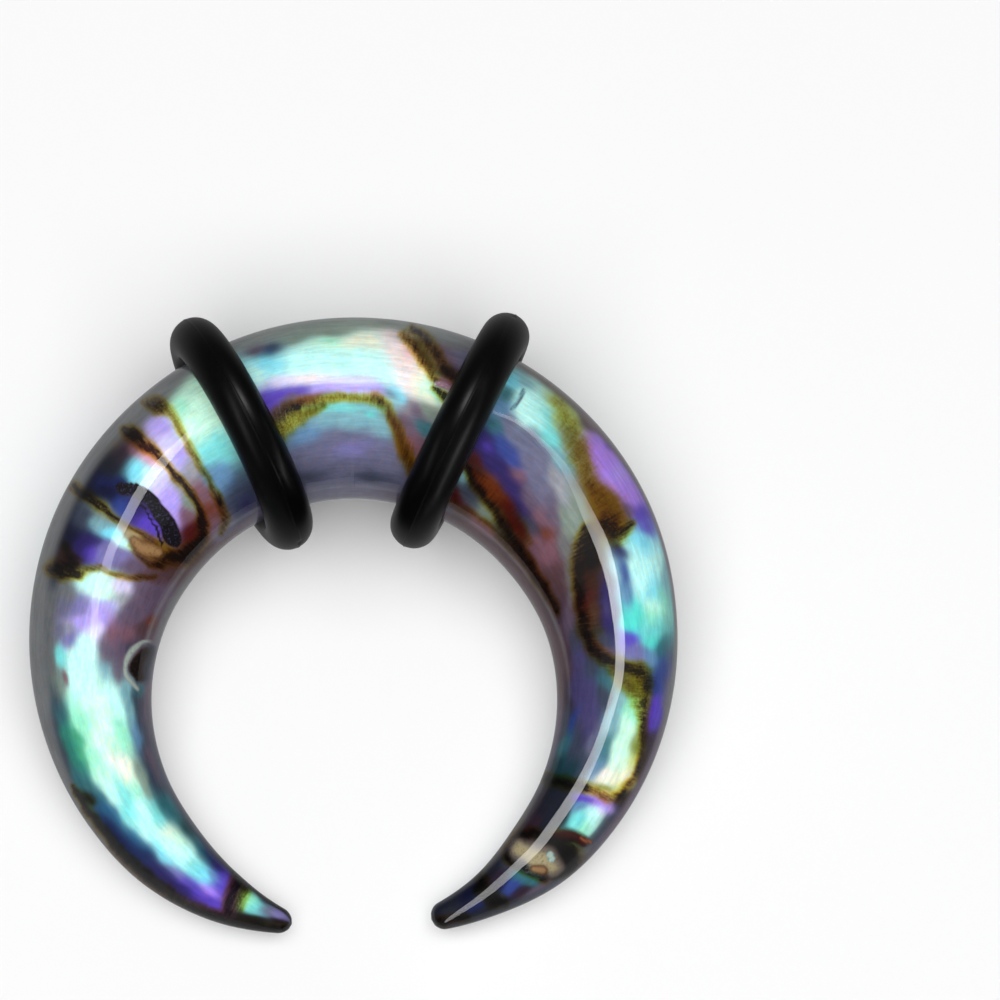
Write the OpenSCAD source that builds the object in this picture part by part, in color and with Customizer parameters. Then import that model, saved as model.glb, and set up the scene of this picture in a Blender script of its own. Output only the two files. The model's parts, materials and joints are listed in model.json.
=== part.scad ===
/* [Crescent] */
// Radius of the curved centreline
centreline_r = 11.5; // [11:0.1:14]
// Radius of the round body at its thickest, where the ear lobe sits
seat_r = 4; // [3.4:0.1:4.3]
// Angle from the top to the very tip of the left horn
left_tip_deg = 166.3; // [158:0.1:168]
// Angle from the top to the very tip of the right horn
right_tip_deg = 162.8; // [158:0.1:168]
// Length of the rounding at each tip, as an angle of the centreline
tip_round_deg = 2.4; // [1.5:0.1:4]

/* [Layers] */
// Share of the body's radius that the shell core fills
core_share = 0.87; // [0.8:0.01:0.9]
// Gap between the core and the coat around it
core_gap = 0.05; // [0.03:0.01:0.1]
// Angle by which the core stops short of each tip
core_short_deg = 2.6; // [2:0.1:6]

/* [Stretchy rings] */
// Angle from the top to the left ring
left_ring_deg = 25.5; // [20:0.1:34]
// Angle from the top to the right ring
right_ring_deg = 23.9; // [20:0.1:34]
// Extra lean of the left ring in the plane of the crescent
left_ring_lean = 1.3; // [0:0.1:2]
// Extra lean of the right ring in the plane of the crescent
right_ring_lean = 2; // [0:0.1:2]
// How far the left ring slants towards the top, as a slope
left_ring_slant = 0.12; // [0:0.01:0.15]
// How far the right ring slants towards the top, as a slope
right_ring_slant = 0.03; // [0:0.01:0.15]
// Thickness of the rubber along the body
ring_w = 2.14; // [1.6:0.02:2.4]
// Height of the stretched rubber off the body
ring_h = 1.62; // [1.3:0.02:1.7]
// Radius of the flattened side that grips the body
ring_grip_r = 2.2; // [1.8:0.1:4]
// Gap between a ring and the body
ring_gap = 0.1; // [0.08:0.01:0.14]

/* [Hidden] */

// Taper of the two horns: angle from the top, then the radius of the left
// and of the right horn there as a share of seat_r
TAPER = [
    [0, 1.000, 1.000],
    [20, 0.986, 0.994],
    [40, 0.932, 0.945],
    [60, 0.853, 0.859],
    [80, 0.740, 0.729],
    [100, 0.622, 0.613],
    [120, 0.512, 0.496],
    [135, 0.435, 0.405],
    [150, 0.304, 0.245],
    [160, 0.188, 0.158],
    [170, 0.070, 0.070]
];
TAPER_END = len(TAPER) - 1;

// Sides and stations of the two meshed skins
coat_sides = 32;
core_sides = 24;
coat_step_deg = 5.5;
core_step_deg = 7;
cap_steps = 4;

// How much nearer to each tip the coat's cavity reaches than the core does
cavity_over_deg = 0.3;

// Half the thickness of the rubber
ring_a = ring_w / 2;

function column(angle) = angle < 0 ? 1 : 2;

// Row of TAPER at or before an angle
function row_before(deg) = max([for (i = [0:TAPER_END - 1]) if (TAPER[i][0] <= deg) i]);

// Slope of one column of TAPER at a row, level at the top of the crescent
function slope(i, col) = i == 0 ? 0 :
    (TAPER[min(i + 1, TAPER_END)][col] - TAPER[i - 1][col])
    / (TAPER[min(i + 1, TAPER_END)][0] - TAPER[i - 1][0]);

// Cubic through two values a and b with slopes sa and sb, over a span
function cubic(a, b, sa, sb, span, t) =
    a * (2 * t ^ 3 - 3 * t ^ 2 + 1) + b * (3 * t ^ 2 - 2 * t ^ 3)
    + span * (sa * (t ^ 3 - 2 * t ^ 2 + t) + sb * (t ^ 3 - t ^ 2));

function taper_share(deg, col, i) = cubic(
    TAPER[i][col], TAPER[i + 1][col], slope(i, col), slope(i + 1, col),
    TAPER[i + 1][0] - TAPER[i][0],
    (deg - TAPER[i][0]) / (TAPER[i + 1][0] - TAPER[i][0]));

// Radius of the body at a signed angle, negative on the left horn
function body_r(angle) = seat_r * taper_share(abs(angle), column(angle), row_before(abs(angle)));

// Elliptical rounding that closes a horn between its last full section and its tip
function tip_share(deg, tip) =
    deg <= tip - tip_round_deg ? 1 : sqrt(max(0, 1 - ((deg - tip + tip_round_deg) / tip_round_deg) ^ 2));

// Radius of a ring's hole, and of the middle of its rubber
function ring_hole_r(angle) = body_r(angle) + ring_gap;
function ring_mid_r(angle) = ring_hole_r(angle) + ring_h - ring_a;

function tip_deg(angle, short) = (angle < 0 ? left_tip_deg : right_tip_deg) - short;

// Radius of a skin: share of the body's radius less a gap, stopping short of the tips
function skin_r(angle, share, gap, short) =
    (share * body_r(angle) - gap) * tip_share(abs(angle), tip_deg(angle, short));

// Angles of the sections from the left tip to the right tip, closer together in the roundings
function cap_angles(tip, sign) = [for (k = [1:cap_steps - 1])
    sign * (tip - tip_round_deg * (1 - cos(90 * k / cap_steps)))];
function sections(short, step) =
    let (a = left_tip_deg - short, b = right_tip_deg - short,
         n = ceil((a + b - 2 * tip_round_deg) / step),
         right = cap_angles(b, 1))
    concat(
        cap_angles(a, -1),
        [for (k = [0:n]) -a + tip_round_deg + k * (a + b - 2 * tip_round_deg) / n],
        [for (k = [cap_steps - 2:-1:0]) right[k]]);

// Point at an angle along the centreline, a turn round it and a radius from it
function place(angle, turn, r) = [
    (centreline_r + r * cos(turn)) * sin(angle),
    (centreline_r + r * cos(turn)) * cos(angle),
    r * sin(turn)];

function skin_points(share, gap, short, step, sides) =
    let (at = sections(short, step))
    concat(
        [place(-tip_deg(-1, short), 0, 0)],
        [for (angle = at) for (j = [0:sides - 1])
            place(angle, 360 * j / sides, skin_r(angle, share, gap, short))],
        [place(tip_deg(1, short), 0, 0)]);

function skin_faces(rows, sides) =
    let (last = rows * sides + 1)
    concat(
        [for (j = [0:sides - 1]) [0, 1 + j, 1 + (j + 1) % sides]],
        [for (i = [0:rows - 2]) for (j = [0:sides - 1])
            let (a = 1 + i * sides + j, b = 1 + i * sides + (j + 1) % sides)
            each [[a, a + sides, b + sides], [a, b + sides, b]]],
        [for (j = [0:sides - 1]) [last, last - sides + (j + 1) % sides, last - sides + j]]);

// How the piece lies by itself on a flat surface: the rings hold the top up, the
// horns touch near their tips, and the tilt is where both are equally low
HORN_ANGLES = [100:1:160];
MOST_TILT = 25;
HALVINGS = 24;
function section_low(angle, tilt) =
    centreline_r * cos(angle) * sin(tilt)
    - body_r(angle) * norm([cos(angle) * sin(tilt), cos(tilt)]);
function horns_low(tilt) = min([for (a = HORN_ANGLES) for (side = [-1, 1]) section_low(side * a, tilt)]);
function ring_reach(angle, slant, dir) =
    let (along = dir * [cos(angle), -sin(angle), 0],
         out = dir * [sin(angle), cos(angle), 0],
         up = dir[2] + slant * along)
    ring_mid_r(angle) * norm([out, up]) + ring_a * norm([along, out, up]);
function ring_low(angle, slant, tilt) =
    centreline_r * cos(angle) * sin(tilt) - ring_reach(angle, slant, [0, -sin(tilt), -cos(tilt)]);
function rings_low(tilt) = min(
    ring_low(-left_ring_deg, left_ring_slant, tilt),
    ring_low(right_ring_deg, -right_ring_slant, tilt));
function find_tilt(low, high, n) =
    let (mid = (low + high) / 2)
    n == 0 ? mid
    : rings_low(mid) < horns_low(mid) ? find_tilt(mid, high, n - 1)
    : find_tilt(low, mid, n - 1);

rest_tilt = find_tilt(0, MOST_TILT, HALVINGS);
rest_lift = -min(rings_low(rest_tilt), horns_low(rest_tilt));

// Middle of the piece seen from above, so that the origin is under it
coat_points = skin_points(1, 0, 0, coat_step_deg, coat_sides);
back = [0, cos(rest_tilt), -sin(rest_tilt)];
function ring_back(angle, slant) =
    centreline_r * cos(angle) * cos(rest_tilt) + ring_reach(angle, slant, back);
function middle(values) = (max(values) + min(values)) / 2;
mid_x = middle([for (p = coat_points) p[0]]);
mid_y = middle([
    ring_back(-left_ring_deg, left_ring_slant),
    ring_back(right_ring_deg, -right_ring_slant),
    each [for (p = coat_points) p * back]]);

// Lays the crescent, drawn flat on XY about its own centre, down as it rests
module at_rest() {
    translate([-mid_x, -mid_y, rest_lift]) rotate([rest_tilt, 0, 0]) children();
}

module skin(share, gap, short, step, sides) {
    rows = len(sections(short, step));
    polyhedron(points = skin_points(share, gap, short, step, sides), faces = skin_faces(rows, sides));
}

module clear_coat() {
    color([0.80, 0.86, 0.88, 0.35])
    at_rest()
    difference() {
        skin(1, 0, 0, coat_step_deg, coat_sides);
        skin(core_share, 0, core_short_deg - cavity_over_deg, core_step_deg, core_sides);
    }
}

module shell_core() {
    color([0.42, 0.62, 0.66])
    at_rest()
    skin(core_share, core_gap, core_short_deg, core_step_deg, core_sides);
}

// A rubber ring stretched round the body, square to it apart from its lean and slant
module o_ring(angle, lean, slant) {
    at_rest()
    rotate([0, 0, -angle])
    translate([0, centreline_r, 0])
    rotate([0, 0, -lean])
    multmatrix([[1, 0, slant, 0], [0, 1, 0, 0], [0, 0, 1, 0], [0, 0, 0, 1]])
    rotate([0, 90, 0])
    rotate_extrude($fn = 64)
    intersection() {
        translate([ring_mid_r(angle), 0]) circle(r = ring_a, $fn = 32);
        translate([ring_hole_r(angle) + ring_grip_r, 0]) circle(r = ring_grip_r, $fn = 64);
    }
}

module o_ring_left() {
    color([0.03, 0.03, 0.035]) o_ring(-left_ring_deg, -left_ring_lean, left_ring_slant);
}

module o_ring_right() {
    color([0.03, 0.03, 0.035]) o_ring(right_ring_deg, right_ring_lean, -right_ring_slant);
}

clear_coat();
shell_core();
o_ring_left();
o_ring_right();
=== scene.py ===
import json
import math

import bmesh
import bpy
import numpy as np
from mathutils import Matrix, Vector


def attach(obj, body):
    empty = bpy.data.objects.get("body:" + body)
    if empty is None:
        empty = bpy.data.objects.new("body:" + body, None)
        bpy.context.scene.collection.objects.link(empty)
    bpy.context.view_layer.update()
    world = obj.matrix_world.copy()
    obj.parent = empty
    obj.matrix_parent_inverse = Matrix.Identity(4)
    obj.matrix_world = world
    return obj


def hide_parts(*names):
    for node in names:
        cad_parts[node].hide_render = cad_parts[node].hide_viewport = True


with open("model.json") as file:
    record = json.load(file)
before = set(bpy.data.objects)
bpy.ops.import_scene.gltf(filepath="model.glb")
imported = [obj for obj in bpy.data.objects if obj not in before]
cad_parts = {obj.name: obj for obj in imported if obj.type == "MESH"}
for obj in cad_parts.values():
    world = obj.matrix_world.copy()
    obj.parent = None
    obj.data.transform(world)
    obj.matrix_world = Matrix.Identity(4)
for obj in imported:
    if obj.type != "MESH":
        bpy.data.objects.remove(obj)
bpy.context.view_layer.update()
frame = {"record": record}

MM = 0.001

# The crescent in millimetres and degrees, drawn flat about its own centre. Angles are
# measured from the top, negative on the left horn. The tilt is the one that part.scad finds
CENTRELINE_R = 11.5
SEAT_R = 4.0
LEFT_TIP = -166.3
RIGHT_TIP = 162.8
TIP_ROUND = 2.4
REST_TILT = 12.2788

# Angle from the top, then the radius of the left and of the right horn as a share of SEAT_R
TAPER = (
    (0, 1.000, 1.000), (20, 0.986, 0.994), (40, 0.932, 0.945), (60, 0.853, 0.859),
    (80, 0.740, 0.729), (100, 0.622, 0.613), (120, 0.512, 0.496), (135, 0.435, 0.405),
    (150, 0.304, 0.245), (160, 0.188, 0.158), (170, 0.070, 0.070),
)

# The core: its share of the body's radius, its gap to the coat, and the angle left at each tip
CORE_SHARE = 0.87
CORE_GAP = 0.05
CORE_SHORT = 0.8

# The smooth coat keeps this far inside the faceted solid's box
COAT_SHRINK = 0.012

# Sides and sections of the two skins, how far the sections crowd to the tips, and how far the
# core's sides crowd to the front. Both skins are spun coarse and made finer by the last number
CORE_SIDES = 140
CORE_STATIONS = 640
CORE_CROWDING = 0.3
CORE_FRONT = 0.45
COAT_SIDES = 112
COAT_STATIONS = 420
COAT_CROWDING = 0.55
FINER = 4

# The stretchy rings: angle, lean in the plane of the crescent, and slant
RINGS = {
    "o_ring_left": (-25.5, -1.3, 0.12),
    "o_ring_right": (23.9, 2.0, -0.03),
}
RING_W = 2.14
RING_H = 1.62
RING_GRIP_R = 2.2
RING_GAP = 0.1
RING_SHRINK = 0.004
RING_SIDES = 64
RING_STEPS = 160
RING_CROWDING = 0.8
GRIP_ROUNDING = 0.06

# The fine mould line round the outside of each ring
RIDGE_H = 0.022
RIDGE_W = 0.05

# A small nick in each ring's rubber: where round the ring, in degrees, and its size
NICKS = {"o_ring_left": -76, "o_ring_right": 78}
NICK_DEPTH = 0.06
NICK_DEG = 1.6
NICK_W = 0.12

# How strongly clear cast resin bends light
RESIN_IOR = 1.49

# The photograph: its pixel of the crescent's centre, and a pixel's size on the object
PICTURE_PX = 1000
CENTRE_PX = (353.9, 669.7)
PX_MM = 0.043956
CAMERA_ELEVATION = 77.72
CAMERA_DISTANCE = 0.8
SENSOR_MM = 36.0

# Hues of the shell as they look in the picture, red, green and blue from 0 to 1
HUES = {
    "mint_white": (0.86, 1.00, 0.92), "mint": (0.66, 0.94, 0.83), "green": (0.34, 0.70, 0.55),
    "teal_green": (0.24, 0.56, 0.52), "aqua_white": (0.83, 1.00, 0.98), "aqua": (0.54, 0.88, 0.88),
    "cyan": (0.58, 0.91, 0.98), "teal": (0.27, 0.48, 0.52), "dark_teal": (0.14, 0.28, 0.32),
    "sky": (0.46, 0.60, 0.74), "blue": (0.26, 0.33, 0.60), "deep_blue": (0.15, 0.18, 0.38),
    "indigo": (0.22, 0.17, 0.42), "violet": (0.43, 0.32, 0.78), "lilac": (0.76, 0.68, 0.96),
    "lavender": (0.55, 0.52, 0.72), "white_lilac": (0.90, 0.86, 0.98), "pink": (0.92, 0.72, 0.82),
    "pink_white": (1.00, 0.91, 0.92), "rose": (0.55, 0.40, 0.45), "mauve": (0.45, 0.38, 0.46),
    "brown_mauve": (0.40, 0.30, 0.32), "plum": (0.25, 0.18, 0.24), "slate": (0.30, 0.32, 0.39),
    "dark_slate": (0.17, 0.18, 0.23), "grey": (0.49, 0.49, 0.50), "pale_grey": (0.66, 0.66, 0.69),
    "grey_lavender": (0.49, 0.48, 0.58), "cream": (0.99, 0.97, 0.89), "peach": (0.98, 0.90, 0.82),
    "yellow": (0.90, 0.92, 0.62), "gold": (0.52, 0.42, 0.12), "orange": (0.50, 0.28, 0.18),
    "red": (0.36, 0.11, 0.09), "lime": (0.56, 0.60, 0.22), "olive": (0.34, 0.29, 0.08),
    "dark_olive": (0.19, 0.15, 0.05), "brown": (0.30, 0.17, 0.08), "dark_brown": (0.13, 0.07, 0.04),
    "black": (0.035, 0.03, 0.03), "beige": (0.70, 0.64, 0.51), "grey_green": (0.57, 0.62, 0.58),
    "tan": (0.52, 0.40, 0.26), "grey_brown": (0.40, 0.36, 0.33), "mist": (0.56, 0.72, 0.76),
    "orchid": (0.74, 0.58, 0.94), "pale_lime": (0.72, 0.80, 0.56), "navy": (0.10, 0.11, 0.24),
    "turquoise": (0.42, 0.90, 0.86), "sea": (0.18, 0.42, 0.58), "khaki": (0.57, 0.53, 0.41),
    "dusk": (0.35, 0.32, 0.49), "dark_red": (0.20, 0.05, 0.04),
}

# Glows of the shell under their hues: its own colours, with its nacre sheen painted in; the near-white
# and small bright ones are painted highlights and glints. Down the left horn, over the top and down the
# right horn: place in the picture, long and short radius in its pixels, and the turn of the long one,
# clockwise from level
GLOWS_AND_PAINTED_SHEEN = {
    "grey": (
        (130, 418, 20, 12, -40), (160, 394, 18, 10, -40), (70, 592, 10, 9, -70), (44, 700, 24, 6, 82),
        (50, 600, 24, 7, -84), (48, 640, 24, 7, 88), (53, 668, 20, 5, 85), (40, 640, 30, 5, 88),
        (455, 344, 16, 7, 18), (430, 334, 20, 6, 14), (566, 552, 14, 5, 85), (570, 580, 16, 5, 88),
        (570, 392, 22, 6, 42), (575, 866, 26, 6, -44), (610, 838, 22, 5, -54)),
    "mint_white": (
        (197, 420, 24, 17, 62), (203, 403, 14, 12, 62), (106, 594, 14, 9, 30), (97, 702, 20, 12, 75),
        (105, 714, 16, 6, 80), (108, 738, 20, 8, 72), (98, 740, 18, 9, 70), (106, 776, 18, 9, 65),
        (176, 838, 12, 8, 50), (330, 345, 18, 5, 0), (426, 388, 9, 8, 60), (653, 605, 9, 8, 80),
        (630, 728, 16, 7, -78), (622, 750, 14, 7, -72), (616, 764, 13, 9, -68)),
    "mint": (
        (184, 408, 9, 7, 60), (84, 722, 18, 9, 75), (121, 730, 18, 7, 78), (116, 748, 14, 4, 74),
        (98, 762, 18, 9, 65), (136, 792, 16, 6, 62), (250, 900, 7, 6, 30), (332, 342, 10, 4, 0),
        (435, 392, 6, 4, 60), (662, 600, 14, 6, 84), (650, 616, 9, 7, 80), (628, 702, 9, 6, -80),
        (634, 716, 9, 5, 80), (586, 827, 8, 5, -40)),
    "aqua": (
        (210, 452, 14, 8, 62), (220, 446, 14, 8, 62), (62, 657, 8, 4, 90), (126, 796, 22, 8, 62),
        (131, 815, 18, 7, 58), (160, 818, 18, 7, 58), (197, 868, 14, 8, 45), (257, 905, 9, 6, 35),
        (346, 409, 26, 4, 0), (544, 417, 15, 9, 60), (550, 436, 12, 8, 65), (651, 628, 13, 10, 85),
        (578, 819, 9, 6, -40)),
    "sky": (
        (224, 474, 15, 8, 66), (214, 478, 12, 7, 66), (137, 732, 14, 4, 80), (214, 874, 8, 5, 45),
        (306, 434, 18, 9, -20), (502, 408, 9, 7, -50), (628, 592, 14, 5, 84), (652, 656, 10, 6, 40),
        (598, 764, 12, 6, -62), (582, 806, 7, 4, -30)),
    "slate": (
        (240, 500, 20, 12, 66), (85, 516, 12, 8, -50), (131, 643, 10, 5, -40), (140, 706, 14, 5, 85),
        (146, 732, 16, 7, 80), (64, 757, 12, 5, 62), (55, 728, 22, 5, 72), (57, 700, 20, 5, 80),
        (54, 580, 12, 6, -80), (156, 782, 22, 5, 70), (268, 899, 12, 4, 38), (370, 476, 20, 6, 4),
        (318, 474, 20, 6, -14), (532, 528, 14, 7, 62), (472, 494, 12, 6, 50), (502, 530, 14, 6, 55),
        (602, 636, 10, 7, 60), (592, 668, 12, 7, 45), (574, 640, 14, 7, 85), (602, 694, 14, 6, 85),
        (566, 716, 16, 5, -80), (577, 738, 16, 7, -72), (582, 758, 14, 8, -66), (612, 818, 16, 6, -56),
        (600, 836, 16, 6, -52), (508, 864, 9, 5, -45)),
    "indigo": (
        (247, 506, 12, 8, 60), (141, 512, 10, 8, 45), (84, 548, 14, 10, -50), (220, 862, 12, 6, 46),
        (162, 868, 20, 8, 38), (182, 886, 16, 6, 32), (484, 440, 11, 9, 60), (488, 454, 12, 9, 55),
        (500, 466, 12, 5, 55), (511, 484, 14, 8, 60), (521, 505, 16, 7, 62), (622, 552, 9, 5, 50),
        (603, 598, 14, 6, 82), (606, 622, 14, 7, 85)),
    "grey_lavender": (
        (226, 530, 14, 12, 40), (66, 606, 12, 8, -75), (60, 628, 8, 5, -70), (266, 909, 9, 6, 30),
        (335, 440, 24, 9, -6), (318, 454, 24, 10, -8), (380, 456, 16, 10, 20), (335, 470, 30, 8, -4),
        (350, 484, 34, 6, 0), (392, 470, 14, 8, 20), (350, 500, 50, 8, 0), (462, 356, 10, 8, 40),
        (512, 424, 12, 8, 35), (528, 436, 14, 8, 45), (540, 456, 16, 9, 55), (536, 474, 16, 9, 60),
        (545, 496, 16, 10, 70), (668, 690, 24, 4, -86), (590, 744, 12, 4, -70)),
    "lilac": (
        (165, 430, 11, 9, 55), (182, 454, 11, 7, 58), (169, 496, 13, 8, 60), (175, 510, 10, 6, 68),
        (101, 612, 12, 9, 60), (110, 604, 9, 6, 0), (84, 622, 14, 7, 0), (326, 388, 18, 4, -3),
        (352, 386, 18, 4, 2), (378, 388, 10, 5, 15), (619, 474, 12, 7, 58), (610, 808, 6, 5, 40)),
    "white_lilac": (
        (170, 443, 11, 8, 55), (160, 480, 11, 9, 50), (124, 588, 10, 6, 5), (96, 630, 10, 8, 80),
        (285, 383, 16, 6, -10), (350, 380, 26, 5, 0), (602, 810, 6, 4, -45)),
    "pale_grey": (
        (193, 469, 12, 6, 60), (182, 488, 11, 5, 60), (120, 598, 9, 7, 0), (70, 626, 8, 6, 0),
        (404, 340, 9, 5, 10), (555, 478, 16, 5, 65), (562, 494, 16, 6, 60)),
    "rose": (
        (203, 488, 12, 7, 66), (215, 523, 12, 8, 90), (135, 449, 8, 5, 40), (186, 515, 8, 6, 66),
        (114, 630, 11, 7, 80), (130, 634, 10, 8, 80), (65, 678, 6, 2, 80), (306, 399, 14, 5, -12),
        (408, 404, 8, 6, 40), (414, 444, 12, 5, 66), (446, 384, 9, 3, 8), (516, 476, 9, 6, 60),
        (540, 516, 10, 7, 60), (536, 540, 10, 6, 60), (550, 552, 14, 8, 75), (480, 524, 14, 4, 42)),
    "orange": (
        (213, 511, 10, 6, 78), (152, 620, 6, 4, -60), (486, 482, 12, 5, 52), (497, 494, 12, 6, 48),
        (543, 534, 8, 6, 50)),
    "brown_mauve": (
        (205, 552, 16, 10, -50), (160, 572, 14, 7, 5), (182, 570, 12, 7, -10), (144, 628, 8, 6, -55),
        (556, 572, 16, 8, 80), (462, 510, 12, 4, 40), (505, 548, 16, 6, 55), (586, 418, 12, 5, 50),
        (594, 612, 12, 6, 85), (598, 648, 8, 4, 40), (559, 596, 20, 7, 82), (562, 640, 18, 6, 86),
        (566, 668, 20, 4, 88)),
    "grey_brown": ((115, 438, 16, 9, -50),),
    "plum": (
        (124, 452, 12, 8, -55), (60, 556, 11, 8, -60), (450, 374, 10, 6, 30), (650, 742, 13, 5, -80),
        (646, 762, 14, 6, -74), (594, 566, 12, 6, 75), (560, 610, 20, 6, 84), (566, 695, 20, 5, 90),
        (622, 804, 14, 6, -58), (532, 808, 16, 6, -56), (527, 822, 12, 6, -50), (536, 822, 10, 4, -50),
        (522, 892, 12, 4, -25), (499, 874, 10, 5, -45), (452, 924, 9, 6, -30)),
    "pink": ((147, 457, 10, 6, 42), (408, 356, 7, 5, 80)),
    "cyan": (
        (137, 471, 9, 8, 40), (111, 533, 8, 3, 15), (203, 874, 12, 7, 42), (163, 852, 16, 6, 48),
        (264, 362, 12, 6, -10), (278, 366, 13, 8, -10), (396, 394, 12, 6, 40), (404, 401, 7, 4, 40),
        (513, 382, 7, 6, -60), (643, 546, 14, 11, 70), (654, 588, 16, 10, 80)),
    "aqua_white": (
        (149, 474, 9, 8, 45), (124, 541, 8, 3, 30), (92, 584, 13, 8, 0), (88, 648, 13, 8, 85),
        (82, 662, 12, 9, 85), (86, 682, 20, 11, 85), (114, 692, 14, 8, 80), (119, 708, 16, 6, 78),
        (112, 792, 18, 8, 62), (143, 805, 18, 7, 60), (143, 828, 18, 8, 52), (170, 846, 16, 9, 48),
        (186, 855, 14, 9, 46), (300, 362, 26, 14, -8), (258, 374, 12, 8, 60), (335, 360, 34, 15, 0),
        (372, 362, 24, 14, 4), (385, 374, 14, 8, 20), (534, 402, 18, 13, 50), (528, 414, 14, 10, 40),
        (540, 420, 12, 6, 55), (639, 562, 17, 12, 75), (655, 560, 18, 9, 78), (643, 578, 15, 10, 80),
        (596, 814, 9, 6, -45), (592, 824, 8, 5, -45)),
    "grey_green": (
        (189, 500, 9, 5, 62), (103, 511, 10, 6, 30), (57, 684, 14, 5, 82), (145, 782, 18, 5, 68),
        (320, 333, 26, 6, -4), (290, 338, 16, 6, -12), (428, 408, 10, 6, 60), (566, 436, 16, 7, 75),
        (574, 506, 16, 6, 60), (566, 520, 14, 6, 65), (488, 512, 12, 6, 50), (622, 676, 9, 7, 60)),
    "red": (
        (194, 532, 10, 6, 75), (476, 462, 8, 6, 60), (508, 508, 10, 6, 50), (517, 526, 10, 5, 60),
        (454, 496, 10, 4, 48), (588, 596, 12, 7, 85)),
    "dark_slate": (
        (109, 462, 15, 12, -55), (80, 458, 12, 6, -58), (66, 508, 14, 6, -68), (50, 540, 16, 6, -76),
        (60, 768, 22, 6, 66), (236, 874, 12, 6, 45), (557, 794, 13, 8, -60), (546, 802, 14, 7, -55),
        (548, 818, 14, 7, -50), (566, 812, 12, 5, -55), (494, 870, 9, 5, -45), (486, 892, 10, 5, -35),
        (453, 906, 10, 6, -45), (500, 905, 12, 4, -20), (470, 917, 12, 4, -22)),
    "navy": (
        (93, 474, 14, 9, -60), (110, 493, 12, 7, 35), (68, 536, 15, 9, -62), (500, 882, 11, 6, -40),
        (468, 898, 13, 6, -40)),
    "deep_blue": (
        (104, 482, 9, 6, 30), (122, 484, 9, 6, 35), (207, 848, 16, 7, 50), (116, 829, 20, 8, 50),
        (140, 850, 22, 8, 42), (273, 350, 14, 7, -20), (480, 904, 10, 4, -30)),
    "blue": (
        (123, 506, 10, 6, 40), (502, 446, 12, 6, 55), (512, 462, 10, 5, 60), (624, 572, 14, 4, 80),
        (655, 684, 8, 5, 85), (664, 668, 12, 6, 88), (573, 722, 14, 3, -76), (512, 887, 10, 5, -35)),
    "violet": (
        (147, 522, 10, 6, 45), (92, 552, 8, 6, -10), (224, 877, 11, 8, 50), (221, 888, 12, 9, 50),
        (199, 891, 13, 7, 35), (212, 901, 12, 5, 30), (184, 880, 12, 5, 38), (270, 398, 10, 9, -30),
        (282, 396, 10, 6, -20), (300, 390, 14, 5, -10), (486, 446, 8, 5, 60), (610, 444, 6, 4, 50),
        (641, 512, 10, 7, 62), (648, 530, 9, 6, 66), (630, 640, 8, 7, 60), (657, 708, 11, 5, 90),
        (652, 724, 11, 5, -80), (586, 799, 9, 3, 10)),
    "gold": (
        (146, 546, 11, 6, 35), (158, 549, 8, 6, 30), (396, 426, 18, 4, 64), (406, 452, 18, 4, 68),
        (602, 500, 12, 7, 62), (612, 512, 16, 11, 66)),
    "beige": ((136, 536, 8, 5, 35),),
    "mist": (
        (98, 523, 8, 5, 20), (107, 670, 11, 6, 85), (127, 690, 10, 5, 70), (131, 712, 16, 5, 80),
        (330, 420, 18, 8, -10), (368, 410, 13, 7, 20), (350, 418, 16, 9, 0), (380, 424, 10, 8, 50),
        (526, 384, 12, 5, 40), (558, 456, 12, 6, 70), (461, 476, 7, 4, 60), (666, 580, 26, 4, 88),
        (620, 700, 10, 6, -80), (613, 718, 14, 6, -76)),
    "lavender": (
        (105, 551, 11, 7, -10), (117, 557, 12, 6, 10), (80, 604, 10, 8, -60), (72, 636, 9, 6, -75),
        (177, 872, 14, 4, 40), (277, 912, 7, 5, 35), (350, 448, 20, 7, 0), (634, 470, 24, 6, 60),
        (638, 651, 12, 6, 20)),
    "mauve": (
        (136, 564, 12, 6, 10), (143, 590, 12, 8, 10), (135, 607, 12, 10, -60), (149, 602, 13, 9, -60),
        (132, 619, 11, 8, 0), (160, 600, 12, 6, -60), (108, 652, 16, 8, 88), (122, 648, 14, 6, 88),
        (118, 676, 14, 5, 88), (148, 712, 14, 5, 85), (154, 758, 20, 5, 75), (256, 350, 9, 5, -25),
        (292, 400, 12, 6, -20), (392, 394, 10, 4, 35), (418, 412, 10, 6, 50), (408, 426, 14, 5, 64),
        (448, 356, 12, 8, 30), (530, 500, 12, 9, 70), (550, 508, 14, 8, 75), (628, 508, 7, 5, 60),
        (600, 428, 22, 5, 50), (606, 648, 7, 3, 15), (566, 620, 20, 7, 86), (545, 885, 14, 4, -30)),
    "teal": (
        (143, 690, 7, 4, -60), (60, 712, 14, 6, 75), (164, 804, 22, 5, 64), (174, 812, 18, 7, 58),
        (199, 845, 14, 6, 52), (91, 782, 14, 5, 60), (80, 782, 16, 6, 62), (101, 797, 10, 4, 50),
        (423, 427, 8, 5, 60), (507, 396, 9, 6, -60), (494, 427, 8, 6, 50), (662, 646, 12, 6, 88),
        (603, 678, 10, 7, 50), (566, 742, 14, 4, -70), (604, 752, 16, 6, -68), (524, 877, 10, 6, 15),
        (532, 881, 8, 4, 10)),
    "green": ((77, 738, 14, 5, 65), (83, 757, 13, 4, 60)),
    "teal_green": ((68, 730, 12, 6, 68), (74, 750, 13, 7, 60), (82, 766, 12, 5, 60)),
    "pink_white": (
        (118, 758, 18, 6, 68), (398, 350, 16, 11, 80), (404, 372, 22, 12, 75), (310, 379, 20, 5, -5),
        (606, 771, 7, 5, -50)),
    "cream": (
        (128, 776, 14, 6, 66), (168, 830, 10, 7, 45), (354, 343, 16, 5, 0), (371, 344, 10, 6, 20),
        (416, 382, 10, 9, 70), (428, 396, 8, 5, 60), (610, 775, 12, 10, -50), (624, 774, 10, 7, -68)),
    "dark_teal": (
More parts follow.
